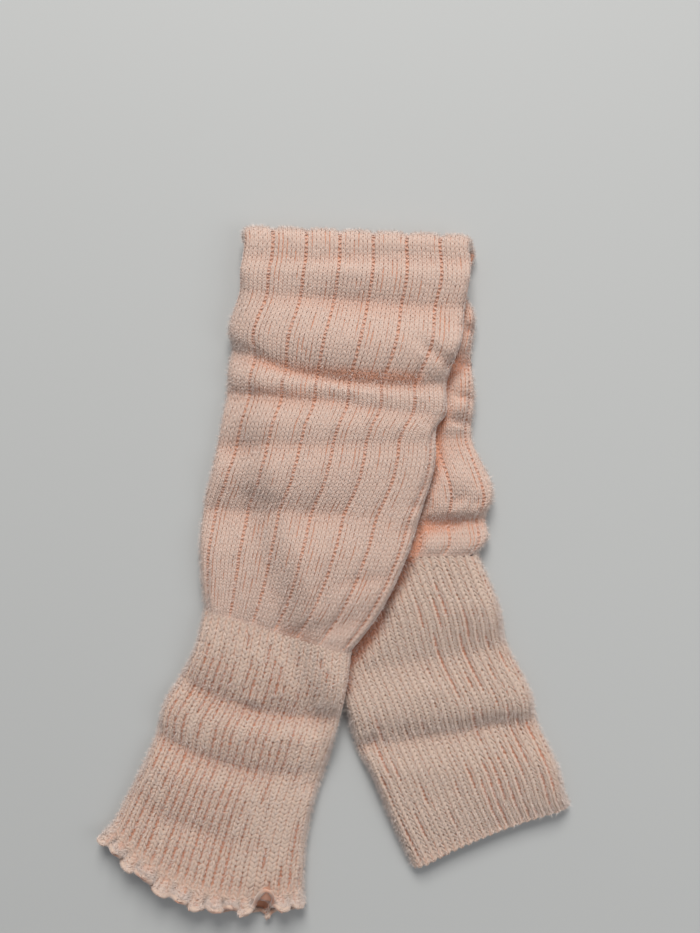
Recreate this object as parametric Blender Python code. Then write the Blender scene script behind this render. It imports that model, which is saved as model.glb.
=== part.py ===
"""Long knitted leg warmer, folded once across its middle and laid flat.

One seamless tube: a frilled hem, a narrow-rib cuff, a wide-rib leg that folds
over on itself, and a second narrow-rib cuff with a plain hem. The front half
lies on the back half and droops to the table beside it.

Axes: +X to the right of the bundle, +Y towards the fold, +Z up. The table is
z = 0, and the origin is under the middle of the bundle. Sizes and tables are
in millimetres, and MM turns them into metres.
"""
import math
from collections import namedtuple

import bmesh
import bpy
import numpy as np

MM = 0.001

# ---------------------------------------------------------------- driving sizes
WALL = 3.0                # knitted wall under the ribs
SLIT = 1.5                # space left between the two walls of the flattened tube
FLAT = 2 * WALL + SLIT    # height of the flattened tube
LAY_GAP = 0.3             # half the space between the two halves where they fold
ROUND_FALL = 0.8          # how round a fold is at its crest, on the side that falls to the hem
ROUND_RISE = 0.3          # the same on the side that rises
HEIGHT_SIDE = 0.75        # a line's left and right heights hold from this share outwards
NOSE = 7.0                # width over which a wall rounds to the side of the tube

PANELS = 14               # wide ribs round the leg, with a ladder column between each
PANEL_RAISE = 1.0         # a wide rib stands this far above its ladder columns
PANEL_POINTS = ((0.0, 0.0), (0.14, 0.85), (0.5, 1.0), (0.86, 0.85))   # share across, raise
RIBS = 44                 # narrow ribs round a cuff
RIB_RAISE = 0.7
RIB_REACH = 0.27          # the ribs show this share of the way round on each side
RIB_FADE = 0.6            # ribs fade out where the wall faces down by this much
UNDER_POINTS = 20         # points across the plain underside of a cuff
SLIT_POINTS = 12          # points round the space inside the leg

FRILL_WAVES = 20          # waves round the frilled hem
FRILL_WALL = 1.7
FRILL_RISE = 2.4          # height of a wave on the upper wall
FRILL_LIFT = 1.4          # height of a wave on the lower wall, which lies on the table
FRILL_SCALLOP = 1.4       # a wave's crest reaches this far past the hem line
FRILL_RINGS = 4
FRILL_POINTS = 6          # points along one wave

DRAPE_OUT = 22.0          # beside the back half the front half droops over this width
DRAPE_IN = 3.0
DRAPE_START = 40.0        # length below the fold over which the droop sets in
COVER_SOFT = 0.15         # share of the half width over which the covered part ends
RIB_START = 0.09          # the same for its ribs

FRONT_STEPS = 3           # rings from one crest or trough of the front leg to the next
STEPS = 2                 # the same elsewhere
FOLD_RINGS = 6            # rings round the fold

CENTRE_X = -0.17           # middle of the bundle in the tables' own x and y
CENTRE_Y = 0.9

# Crest and trough lines across the tube, from the fold down to the hem.
# left x, left y, right x, right y, height at left, middle, right, bow, turn
#   height: upper wall above what the tube lies on
#   bow:    how far the middle of the line lies beyond its ends, down the tube
#   turn:   how far the ladder columns have crept round, in panels
FRONT_LEG = (
    (-51.0, 176.0, 71.5, 172.5, 7.5, 7.5, 7.5, 0, 0.00),      # start of the fold
    (-52.0, 168.5, 72.5, 166.0, 7.2, 7.0, 7.0, 0, 0.00),      # soft line along the fold
    (-53.0, 161.0, 72.0, 158.0, 9.0, 9.4, 9.4, 0, 0.00),      # crest
    (-53.5, 149.5, 69.0, 140.0, 7.8, 6.4, 7.2, 1, -0.02),     # trough
    (-59.0, 131.5, 66.5, 121.5, 11.2, 12.4, 12.4, 2, -0.05),  # crest
    (-57.5, 118.0, 58.5, 99.0, 7.4, 6.0, 6.8, 8, -0.08),      # deepest trough, curved
    (-59.6, 107.0, 58.3, 90.0, 10.4, 8.8, 9.0, 2, -0.10),     # low crest
    (-60.1, 94.6, 58.2, 82.0, 6.6, 8.0, 8.4, 0, -0.14),       # trough, fades right
    (-62.5, 80.5, 56.0, 75.5, 10.4, 10.6, 10.4, 0, -0.20),    # crest
    (-65.0, 66.0, 52.8, 69.0, 8.2, 9.6, 9.8, 0, -0.26),       # slight trough, fades right
    (-67.2, 54.0, 51.6, 56.5, 11.0, 11.2, 10.6, 0, -0.35),    # crest
    (-72.2, 31.2, 43.6, 28.0, 7.0, 7.4, 9.8, 0, -0.47),       # trough, fades right
    (-73.5, 9.6, 36.2, 5.6, 10.6, 11.6, 11.0, 0, -0.54),      # broad crest
    (-72.2, -7.6, 23.5, -21.2, 10.4, 11.2, 10.4, 0, -0.58),   # broad crest, lower side
    (-70.5, -21.0, 7.0, -44.0, 9.2, 9.6, 9.0, 0, -0.60),      # gather at the cuff
)
# The cuff and the frill each start 0.3 mm past the piece before.
FRONT_CUFF = (
    (-70.5, -21.3, 7.0, -44.3, 9.2, 9.6, 9.0, 0, 0),
    (-76.2, -44.0, 5.0, -60.5, 10.8, 11.0, 10.6, 1, 0),       # crest
    (-84.0, -58.8, 1.4, -78.3, 7.0, 6.0, 6.4, 7, 0),          # trough, curved
    (-92.0, -72.5, -2.4, -91.3, 10.2, 11.2, 10.6, 3, 0),      # crest
    (-96.0, -88.3, -7.2, -107.0, 6.0, 6.4, 7.4, 8, 0),        # trough, curved
    (-101.0, -101.3, -12.5, -122.0, 9.2, 9.0, 8.6, 6, 0),     # low crest
    (-109.5, -118.5, -17.0, -143.0, 7.4, 7.0, 8.0, 10, 0),    # flat
    (-118.5, -136.2, -19.0, -168.2, 7.4, 7.6, 7.4, 16, 0),    # end of the ribs
)
FRILL = (
    (-118.6, -136.5, -19.0, -168.5, 7.4, 7.6, 7.4, 16, 0),
    (-123.5, -143.5, -18.0, -177.5, 7.4, 7.8, 7.4, 18, 0),    # hem
)
# left x, left y, right x, right y, height, cover, turn
#   height: upper wall above the table where the front half doesn't cover it
#   cover:  where that starts, from -1 at the line's left end to 1 at its right end
BACK_LEG = (
    (-50.5, 175.8, 76.5, 172.2, 7.5, 0.98, 0.00),             # end of the fold
    (-47.5, 152.0, 71.0, 149.0, 6.5, 0.95, 0.04),             # trough
    (-46.0, 138.0, 75.0, 139.0, 10.5, 0.86, 0.08),            # crest
    (-43.5, 117.0, 73.0, 115.5, 6.5, 0.82, 0.14),             # trough
    (-41.5, 95.0, 74.0, 93.0, 10.8, 0.70, 0.20),              # crest
    (-39.5, 71.0, 72.5, 70.0, 7.0, 0.58, 0.26),               # trough
    (-34.0, 44.0, 83.5, 40.0, 12.5, 0.34, 0.34),              # crest of the big puff
    (-29.5, 24.5, 79.5, 25.5, 6.0, 0.28, 0.38),               # deep trough under it
    (-26.0, 14.0, 80.5, 15.0, 9.6, 0.19, 0.40),               # small crest
    (-22.5, 5.5, 75.0, 7.5, 8.8, 0.18, 0.40),                 # gather at the cuff
)
BACK_CUFF = (
    (-22.4, 5.0, 75.0, 7.0, 8.8, 0.18, 0),
    (-14.0, -18.5, 86.0, -20.0, 10.4, -0.25, 0),              # crest
    (-3.5, -56.5, 90.5, -41.5, 7.8, -0.83, 0),                # soft trough, slanted
    (5.0, -74.5, 102.6, -66.2, 10.2, -1.20, 0),               # crest
    (10.5, -95.6, 106.2, -82.0, 6.0, -1.20, 0),               # trough
    (18.0, -108.5, 116.0, -104.0, 8.8, -1.20, 0),             # low crest
    (29.5, -135.0, 120.5, -121.0, 7.8, -1.20, 0),             # flat
    (40.5, -158.0, 122.5, -127.0, 6.8, -1.20, 0),             # plain hem
)

# One line across the tube: its ends, its upper wall's height at u from -1 to 1,
# its bow and turn, how far it has turned round the fold, and where its ribs
# are hidden.
Line = namedtuple("Line", "left right height bow turn bend cover")


# ---------------------------------------------------------------- lines across the tube
def smooth(share):
    """Ease from 0 to 1 while the share runs from 0 to 1."""
    share = np.clip(share, 0.0, 1.0)
    return share * share * (3.0 - 2.0 * share)


def through(knots, values, at):
    """A smooth curve through values at the knots, read at one place."""
    slopes = np.gradient(np.asarray(values, float), np.asarray(knots, float))
    i = int(np.clip(np.searchsorted(knots, at) - 1, 0, len(knots) - 2))
    span = knots[i + 1] - knots[i]
    s = (at - knots[i]) / span
    start = (2 * s**3 - 3 * s**2 + 1) * values[i] + (s**3 - 2 * s**2 + s) * span * slopes[i]
    end = (3 * s**2 - 2 * s**3) * values[i + 1] + (s**3 - s**2) * span * slopes[i + 1]
    return start + end


def fold_share(s, falling):
    """How far the cloth has gone from one crest or trough to the next.

    A falling side is round at its crest and sharp at its trough. A rising side is softer.
    """
    if falling:
        arc = 1.0 - math.cos(0.5 * math.pi * s)
        return ROUND_FALL * arc + (1.0 - ROUND_FALL) * float(smooth(s))
    arc = math.sin(0.5 * math.pi * s)
    return ROUND_RISE * arc + (1.0 - ROUND_RISE) * float(smooth(s))


def table_line(table, i, s):
    """All columns at share s of the way from row i to row i + 1."""
    knots = [0.0]
    for a, b in zip(table, table[1:]):
        knots.append(knots[-1] + 0.5 * math.hypot(b[0] + b[2] - a[0] - a[2], b[1] + b[3] - a[1] - a[3]))
    at = knots[i] + s * (knots[i + 1] - knots[i])
    ends = [through(knots, [row[column] for row in table], at) for column in range(4)]
    rest = [a + (b - a) * fold_share(s, b < a) for a, b in zip(table[i][4:], table[i + 1][4:])]
    return ends + rest


def front_line(table, i, s):
    """A line of the front half."""
    lx, ly, rx, ry, left, middle, right, bow, turn = table_line(table, i, s)

    def height(u):
        side = np.where(u < 0, left, right)
        return middle + (side - middle) * smooth(np.abs(u) / HEIGHT_SIDE)

    return Line((lx, ly), (rx, ry), height, bow, turn, 0.0, -2.0)


def back_line(table, i, s):
    """A line of the back half."""
    lx, ly, rx, ry, open_height, cover, turn = table_line(table, i, s)

    def height(u):
        return FLAT + (open_height - FLAT) * smooth((u - cover) / COVER_SOFT)

    return Line((lx, ly), (rx, ry), height, 0.0, turn, math.pi, cover)


def fold_line(share):
    """A line part of the way round the fold."""
    start = FRONT_LEG[0]
    end = BACK_LEG[0]
    lx, ly, rx, ry = [a + (b - a) * share for a, b in zip(start[:4], end[:4])]

    def height(u):
        return np.full_like(u, FLAT)

    return Line((lx, ly), (rx, ry), height, 0.0, 0.0, math.pi * share, -2.0)


def lines_of(table, make_line, steps=STEPS):
    """All lines of a table, with the steps between its rows."""
    lines = [make_line(table, i, step / steps) for i in range(len(table) - 1) for step in range(steps)]
    lines.append(make_line(table, len(table) - 2, 1.0))
    return lines


# ---------------------------------------------------------------- one ring of the tube
def support(x, y):
    """Height of what the front half lies on: the back half, and the table beside it."""
    edge_rows = (BACK_LEG + BACK_CUFF)[::-1]
    edge = np.interp(y, [row[1] for row in edge_rows], [row[0] for row in edge_rows])
    on_back = smooth((x - edge + DRAPE_OUT) / (DRAPE_OUT + DRAPE_IN))
    set_in = smooth((FRONT_LEG[0][1] - y) / DRAPE_START)
    return (FLAT + 2 * LAY_GAP) * (1.0 - set_in * (1.0 - on_back))


def place(line, x, z):
    """World points of a ring given across the tube and up, as it leaves the front half."""
    left = np.array(line.left)
    right = np.array(line.right)
    half = 0.5 * np.linalg.norm(right - left)
    across = (right - left) / (2 * half)
    down = np.array((across[1], -across[0]))
    reach = line.bow * (1.0 - (x / half) ** 2) - math.sin(line.bend) * (z + LAY_GAP)
    ground = 0.5 * (left + right) + np.outer(x, across) + np.outer(reach, down)
    if line.bend == 0.0:
        up = support(ground[:, 0], ground[:, 1]) + z
    else:
        up = FLAT + LAY_GAP + math.cos(line.bend) * (z + LAY_GAP)
    return np.column_stack([ground, np.maximum(up, 0.0)])


def outline(line, outer):
    """Closed outline of the tube or of the space in it, from the top's middle to the right.

    Gives x across the tube, z above its underside, and the outward direction.
    """
    half = 0.5 * math.dist(line.left, line.right)
    flat_reach = half - NOSE
    wide = half if outer else half - WALL - 1.0    # the wall is a little thicker at the side
    turn = np.sin(np.linspace(0.0, 0.5 * np.pi, 15))
    u = np.concatenate([np.linspace(0.0, flat_reach, 30)[:-1], flat_reach + (wide - flat_reach) * turn])
    x = np.concatenate([u, u[-2::-1], -u[1:], -u[-2:0:-1]])
    over = np.ones(len(x), bool)
    over[len(u):3 * len(u) - 3] = False
    side = 0.5 * np.where(x > 0, line.height(np.ones(1)), line.height(-np.ones(1)))
    round_off = np.sqrt(1.0 - np.clip((np.abs(x) - flat_reach) / NOSE, 0.0, 1.0) ** 2)
    top = side + (line.height(x / half) - side) * round_off
    if outer:
        z = np.where(over, top, side * (1.0 - round_off))
    else:
        slit = 0.5 * SLIT * np.sqrt(1.0 - 0.5 * (np.abs(x) / wide) ** 4)
        z = top - WALL - 0.5 * SLIT + np.where(over, slit, -slit)
    dx = np.roll(x, -1) - np.roll(x, 1)
    dz = np.roll(z, -1) - np.roll(z, 1)
    size = np.hypot(dx, dz)
    return x, z, -dz / size, dx / size


def read_round(shares, outline_values):
    """Values at shares of the way round a closed outline."""
    closed = [np.append(values, values[0]) for values in outline_values]
    travel = np.concatenate([[0.0], np.cumsum(np.hypot(np.diff(closed[0]), np.diff(closed[1])))])
    at = np.mod(shares, 1.0) * travel[-1]
    return [np.interp(at, travel, values) for values in closed]


def laid(line, shares):
    """Shares counted from the middle of the laid tube's upper wall.

    Past the fold the tube lies upside down.
    """
    return 0.5 - shares if line.bend == math.pi else shares


def stand_up(line, z):
    """Height above the underside, as the tube leaves the front half."""
    return FLAT - z if line.bend == math.pi else z


def outer_ring(line, shares, raised):
    """Points round the tube, its ribs raised where they show."""
    x, z, nx, nz = read_round(laid(line, shares), outline(line, True))
    half = 0.5 * math.dist(line.left, line.right)
    shows = smooth((nz + RIB_FADE) / RIB_FADE) * smooth((x / half - line.cover) / RIB_START)
    if 0.0 < line.bend < math.pi:
        shows = shows * (1.0 - smooth((line.bend - 0.5 * math.pi) / (0.4 * math.pi)))
    x = x + nx * raised * shows
    z = z + nz * raised * shows
    return place(line, x, stand_up(line, z))


def slit_ring(line, shares):
    """Points round the space inside the tube."""
    x, z, _, _ = read_round(laid(line, shares), outline(line, False))
    return place(line, x, stand_up(line, z))


# ---------------------------------------------------------------- meshes
def add_points(bm, rings):
    """Vertices of rings, in metres and about the bundle's middle."""
    shift = np.array((CENTRE_X, CENTRE_Y, 0.0))
    return [[bm.verts.new((point - shift) * MM) for point in ring] for ring in rings]


def skin(bm, rings):
    """Four-sided faces between neighbouring rings."""
    for ring, following in zip(rings, rings[1:]):
        for i in range(len(ring)):
            j = (i + 1) % len(ring)
            bm.faces.new((ring[i], ring[j], following[j], following[i]))


def cap(bm, outer, inner, outer_shares, inner_shares):
    """The cut end of the wall, three-sided faces between its outer and inner edge."""
    o = 0
    i = 0
    outer_stops = list(outer_shares) + [outer_shares[0] + 1.0]
    inner_stops = list(inner_shares) + [inner_shares[0] + 1.0]
    while o < len(outer) or i < len(inner):
        a = outer[o % len(outer)]
        b = inner[i % len(inner)]
        step_outer = i == len(inner) or (o < len(outer) and outer_stops[o + 1] <= inner_stops[i + 1])
        if step_outer:
            o += 1
            bm.faces.new((a, outer[o % len(outer)], b))
        else:
            i += 1
            bm.faces.new((a, inner[i % len(inner)], b))


def knit_object(name, colour, outer_rings, inner_rings, end_shares, inner_shares):
    """A closed tube wall from its outer and inner rings, as a named object."""
    bm = bmesh.new()
    outer = add_points(bm, outer_rings)
    inner = add_points(bm, inner_rings)
    skin(bm, outer)
    skin(bm, inner)
    cap(bm, outer[0], inner[0], end_shares[0], inner_shares)
    cap(bm, outer[-1], inner[-1], end_shares[1], inner_shares)
    bmesh.ops.triangulate(bm, faces=bm.faces[:])
    bmesh.ops.recalc_face_normals(bm, faces=bm.faces[:])
    mesh = bpy.data.meshes.new(name)
    bm.to_mesh(mesh)
    bm.free()
    mesh.shade_smooth()
    mesh.set_sharp_from_angle(angle=math.radians(50))
    mesh.materials.append(knit_material(name, colour))
    piece = bpy.data.objects.new(name, mesh)
    bpy.context.scene.collection.objects.link(piece)
    return piece


def knit_material(name, colour):
    """Matt brushed knit."""
    material = bpy.data.materials.new(name + "_knit")
    material.use_nodes = True
    shader = material.node_tree.nodes["Principled BSDF"]
    shader.inputs["Base Color"].default_value = (*colour, 1.0)
    shader.inputs["Roughness"].default_value = 0.9
    shader.inputs["Metallic"].default_value = 0.0
    return material


# ---------------------------------------------------------------- pieces
def make_leg():
    """The wide-rib leg: front half, fold and back half in one tube."""
    front = lines_of(FRONT_LEG, front_line, FRONT_STEPS)[::-1]
    fold = [fold_line(k / (FOLD_RINGS + 1)) for k in range(1, FOLD_RINGS + 1)]
    back = lines_of(BACK_LEG, back_line)
    lines = front + fold + back
    across = np.array([k + 0.5 + share for k in range(PANELS) for share, _ in PANEL_POINTS])
    raised = np.array([PANEL_RAISE * part for _ in range(PANELS) for _, part in PANEL_POINTS])
    shares = [(across + line.turn) / PANELS for line in lines]
    slit_shares = np.arange(SLIT_POINTS) / SLIT_POINTS
    outer = [outer_ring(line, share, raised) for line, share in zip(lines, shares)]
    inner = [slit_ring(line, slit_shares) for line in lines]
    knit_object("leg", (0.86, 0.66, 0.58), outer, inner, (shares[0], shares[-1]), slit_shares)


def make_cuff(name, lines):
    """A narrow-rib cuff: ribs on all that shows, and a plain underside."""
    count = int(RIB_REACH * RIBS)
    on_rib = np.arange(-2 * count, 2 * count + 1)
    ribs = on_rib / (2 * RIBS)
    crest = RIB_RAISE * (on_rib % 2 == 0)
    under = np.linspace(ribs[-1], 1.0 + ribs[0], UNDER_POINTS + 2)[1:-1]
    shares = np.concatenate([ribs[2 * count:], under, ribs[:2 * count] + 1.0])
    raised = np.concatenate([crest[2 * count:], np.zeros(UNDER_POINTS), crest[:2 * count]])
    slit_shares = shares[::2]
    outer = [outer_ring(line, laid(line, shares), raised) for line in lines]
    inner = [slit_ring(line, laid(line, slit_shares)) for line in lines]
    knit_object(name, (0.84, 0.63, 0.55), outer, inner, (shares, shares), slit_shares)


def frill_rings(line, grown, shares):
    """Outer and inner points of the frilled hem, its waves grown from 0 to 1."""
    x, z, nx, nz = read_round(shares, outline(line, True))
    wave = np.cos(2.0 * math.pi * FRILL_WAVES * shares)
    size = grown**1.5 * (0.8 + 0.3 * np.sin(2.1 * np.floor(FRILL_WAVES * shares + 0.5)))
    upper = smooth((nz + RIB_FADE) / RIB_FADE)
    rise = FRILL_RISE * size * wave * upper * (1.0 - np.abs(nx))
    lift = FRILL_LIFT * size * 0.5 * (1.0 + wave) * (1.0 - upper) * (1.0 - np.abs(nx))
    line = line._replace(bow=line.bow + FRILL_SCALLOP * size * wave)
    rings = []
    for depth in (0.0, FRILL_WALL):
        rings.append(place(line, x + nx * (rise - depth), z + nz * (rise - depth) + lift))
    return rings


def make_frill():
    """The frilled hem: a short stretch of wall that waves up and down."""
    shares = np.arange(FRILL_POINTS * FRILL_WAVES) / (FRILL_POINTS * FRILL_WAVES)
    outer = []
    inner = []
    for k in range(FRILL_RINGS):
        grown = k / (FRILL_RINGS - 1)
        outside, inside = frill_rings(front_line(FRILL, 0, grown), grown, shares)
        outer.append(outside)
        inner.append(inside)
    knit_object("frill_hem", (0.86, 0.66, 0.58), outer, inner, (shares, shares), shares)


for old in list(bpy.data.objects):
    bpy.data.objects.remove(old, do_unlink=True)

make_leg()
make_cuff("front_cuff", lines_of(FRONT_CUFF, front_line))
make_cuff("back_cuff", lines_of(BACK_CUFF, back_line))
make_frill()
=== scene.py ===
"""A long knitted leg warmer, folded once across its middle and laid on a table.

One tube of brushed yarn: frilled hem, narrow-rib cuff, wide-rib leg that folds
over on itself, narrow-rib cuff, plain hem. Tables and sizes are in millimetres,
about the tube's own middle, and MM turns them into the frame's metres.
"""

import math
from collections import namedtuple

import bmesh
import bpy
import numpy as np
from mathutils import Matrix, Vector


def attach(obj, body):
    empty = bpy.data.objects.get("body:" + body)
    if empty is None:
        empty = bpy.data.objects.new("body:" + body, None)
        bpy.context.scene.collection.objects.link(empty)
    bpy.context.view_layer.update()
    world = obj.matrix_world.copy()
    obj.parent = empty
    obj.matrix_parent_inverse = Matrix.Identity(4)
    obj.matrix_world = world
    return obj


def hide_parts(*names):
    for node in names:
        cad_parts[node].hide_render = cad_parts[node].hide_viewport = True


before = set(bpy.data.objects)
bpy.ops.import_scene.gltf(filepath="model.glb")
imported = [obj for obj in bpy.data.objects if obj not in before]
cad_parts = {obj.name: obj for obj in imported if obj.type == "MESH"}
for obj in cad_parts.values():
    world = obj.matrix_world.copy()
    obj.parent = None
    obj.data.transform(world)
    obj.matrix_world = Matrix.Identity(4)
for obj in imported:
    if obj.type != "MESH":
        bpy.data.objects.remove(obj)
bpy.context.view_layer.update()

# ============================================================ camera, table and light
# The bundle lies on a pale table, seen from almost straight above. The light is one wide
# soft lamp past the fold, a weaker one at the right, and pale light from all round.
MM = 0.001
LOOK_AT = Vector((6.84, 53.29, 0.0)) * MM
CAMERA_REACH = 446 * MM
CAMERA_TIP = math.radians(4.0)  # from straight down, towards the fold
SENSOR = 24.0
LENS = SENSOR * 808 / 933

studio = bpy.context.scene


def added(name, data):
    """A new object in the scene."""
    made = bpy.data.objects.new(name, data)
    studio.collection.objects.link(made)
    return made


camera_data = bpy.data.cameras.new("camera")
camera_data.sensor_fit = "VERTICAL"
camera_data.sensor_height = SENSOR
camera_data.lens = LENS
camera = added("camera", camera_data)
looks_along = Vector((0.0, math.sin(CAMERA_TIP), -math.cos(CAMERA_TIP)))
camera.location = LOOK_AT - CAMERA_REACH * looks_along
camera.rotation_euler = (CAMERA_TIP, 0.0, 0.0)
studio.camera = camera
studio.view_settings.view_transform = "Standard"


class Wire:
    """One output of a material's nodes. Sums on it add Math nodes."""

    def __init__(self, recipe, socket):
        self.recipe = recipe
        self.socket = socket

    def maths(self, operation, *values, clamp=False):
        settings = {"operation": operation, "use_clamp": clamp}
        return self.recipe.node("ShaderNodeMath", settings, dict(enumerate(values)))

    def __add__(self, other):
        return self.maths("ADD", self, other)

    def __sub__(self, other):
        return self.maths("SUBTRACT", self, other)

    def __mul__(self, other):
        return self.maths("MULTIPLY", self, other)

    def __pow__(self, other):
        return self.maths("POWER", self, other)

    def clamped(self):
        return self.maths("ADD", self, 0.0, clamp=True)


class Recipe:
    """A material and its nodes, around one Principled shader."""

    def __init__(self, name, **finish):
        self.material = bpy.data.materials.new(name)
        self.material.use_nodes = True
        self.tree = self.material.node_tree
        self.shader = self.tree.nodes["Principled BSDF"]
        for socket, value in finish.items():
            self.shader.inputs[socket.replace("_", " ")].default_value = value

    def node(self, kind, settings, inputs, output=0):
        """Add a node: its settings first, then the values or links of its sockets."""
        made = self.tree.nodes.new(kind)
        for key, value in settings.items():
            setattr(made, key, value)
        for key, value in inputs.items():
            if isinstance(value, Wire):
                self.tree.links.new(value.socket, made.inputs[key])
            else:
                made.inputs[key].default_value = value
        return Wire(self, made.outputs[output])

    def blend(self, share, a, b):
        """Mix two colours."""
        settings = {"data_type": "RGBA", "blend_type": "MIX"}
        return self.node("ShaderNodeMix", settings, {0: share, 6: a, 7: b}, 2)

    def noise(self, place, scale, detail):
        return self.node("ShaderNodeTexNoise", {}, {"Vector": place, "Scale": scale, "Detail": detail})

    def feed(self, socket, wire):
        self.tree.links.new(wire.socket, self.shader.inputs[socket])

    def relief(self, strength, depth, height):
        """Fine relief that only the shading shows."""
        inputs = {"Strength": strength, "Distance": depth, "Height": height}
        self.feed("Normal", self.node("ShaderNodeBump", {}, inputs))


TABLE_PAINT = (0.46, 0.465, 0.455, 1.0)


def table_material():
    """Matt painted board, plain and pale."""
    recipe = Recipe("table_paint", Base_Color=TABLE_PAINT, Roughness=0.75)
    place = recipe.node("ShaderNodeTexCoord", {}, {}, "Object")
    recipe.relief(0.05, 0.0002, recipe.noise(place, 900.0, 3.0))
    return recipe.material


bm = bmesh.new()
bmesh.ops.create_grid(bm, x_segments=8, y_segments=8, size=2.0)
table_mesh = bpy.data.meshes.new("table")
bm.to_mesh(table_mesh)
bm.free()
table_mesh.materials.append(table_material())
table = added("table", table_mesh)


def soft_lamp(name, place, size, power, colour):
    """A square lamp that faces the bundle."""
    data = bpy.data.lights.new(name, "AREA")
    data.shape = "SQUARE"
    data.size = size
    data.energy = power
    data.color = colour
    lamp = added(name, data)
    lamp.location = place
    lamp.rotation_euler = (LOOK_AT - Vector(place)).to_track_quat("-Z", "Y").to_euler()


soft_lamp("lamp_past_fold", (-0.05, 1.9, 1.6), 1.2, 64.0, (1.0, 0.985, 0.965))
soft_lamp("lamp_beside", (0.95, -0.3, 0.9), 0.8, 3.4, (0.98, 0.99, 1.0))
world = bpy.data.worlds.new("studio")
world.use_nodes = True
background = world.node_tree.nodes["Background"]
background.inputs["Color"].default_value = (0.93, 0.95, 1.0, 1.0)
background.inputs["Strength"].default_value = 0.31
studio.world = world


# ============================================================ the tube
# One seamless flattened tube. Its wall runs over soft crosswise folds, each given by the
# line across the tube at its crest or trough, and it turns over once where it is folded.
WALL = 3.0
SLIT = 1.5
FLAT = 2 * WALL + SLIT  # height of the flattened tube
LAY_GAP = 0.3  # half the space between the two halves at the fold
ROUND_FALL = 0.95  # how round a fold is at its crest, on the side that falls to the hem
ROUND_RISE = 0.3
HEIGHT_SIDE = 0.75  # a line's left and right heights hold from this share outwards
NOSE = 7.0  # width over which the wall rounds to the side
NOSE_POINTS = 25
FLAT_POINTS = 60
STANDS_FROM = (-93.0, -63.0)  # the front half's right edge stands on the back half from here on
LEAN = 0.75  # a fold's crest leans this much of its height towards the hem
LEAN_FROM = 6.5
DRAPE_OUT = 22.0  # beside the back half the front half droops over this width
DRAPE_IN = 3.0
DRAPE_START = 40.0
COVER_SOFT = 0.15
RIB_START = 0.09
RIB_FADE = 0.6
CENTRE = np.array((-0.17, 0.9, 0.0))
COURSE = 2.1  # height of one course of stitches
ROWS = 2  # rows of places worked out for each course
FOLD_COURSES = 11
FOLD_FLARE = (2.2, 2.0)  # how far the left end of the fold flares, out and up
EASE_PASSES = 3  # how often neighbouring rows are eased into each other
LEFT_SHOWS = 112.0  # past this far towards the fold the back half's left side shows

# left x, left y, right x, right y, height at left, middle, right, bow, turn
FRONT_LEG = (
    (-51, 176, 71.5, 172.5, 7.5, 7.5, 7.5, 0, 0),  # start of the fold
    (-52, 168.5, 72.5, 166, 7.2, 7, 7, 0, 0),  # soft line along the fold
    (-53, 161, 72, 158, 9, 9.4, 9.4, 0, 0),
    (-53.5, 149.5, 69, 140, 7.8, 6.4, 7.2, 1, -0.02),
    (-59, 131.5, 66.5, 121.5, 11.2, 12.4, 12.4, 2, -0.05),
    (-57.5, 118, 58.5, 99, 7.4, 6, 6.8, 8, -0.08),  # deepest trough, curved
    (-59.6, 107, 58.3, 90, 10.4, 8.8, 9, 2, -0.1),  # low crest
    (-60.1, 94.6, 58.2, 82, 7.1, 7.8, 8.4, 0, -0.14),  # trough, fades right
    (-62.5, 80.5, 53, 75.5, 10.4, 10.6, 10.4, 0, -0.2),
    (-65, 66, 51.8, 69, 8.2, 9.6, 9.8, 0, -0.26),  # slight trough, fades right
    (-67.2, 54, 51.6, 56.5, 11, 11.2, 10.6, 0, -0.35),
    (-72.2, 31.2, 43.6, 28, 7, 7.4, 9.8, 0, -0.47),  # trough, fades right
    (-73.5, 9.6, 36.2, 5.6, 10.6, 11.6, 11, 0, -0.54),  # broad crest
    (-72.2, -7.6, 23.5, -21.2, 10.4, 11.2, 10.4, 0, -0.58),  # broad crest, lower side
    (-70.5, -21, 7, -44, 10.2, 9.9, 9, 0, -0.6),  # gather at the cuff
)
FRONT_CUFF = (
    (-70.5, -21.3, 7, -44.3, 10.2, 9.9, 9, 0, 0),
    (-76.2, -44, 5, -60.5, 10.8, 11, 10.6, 1, 0),
    (-84, -58.8, 1.4, -78.3, 7.2, 6.3, 6.6, 7, 0),  # trough, curved
    (-92, -72.5, -2.4, -91.3, 9.8, 10.4, 10.2, 3, 0),
    (-96, -88.3, -7.2, -107, 6, 6.4, 7.4, 8, 0),  # trough, curved
    (-101, -101.3, -12.5, -122, 9.2, 9, 8.6, 6, 0),  # low crest
    (-109.5, -118.5, -17, -143, 7.4, 7, 8, 10, 0),  # flat
    (-118.5, -136.2, -19, -168.2, 7.4, 7.6, 7.4, 16, 0),  # end of the ribs
)
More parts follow.
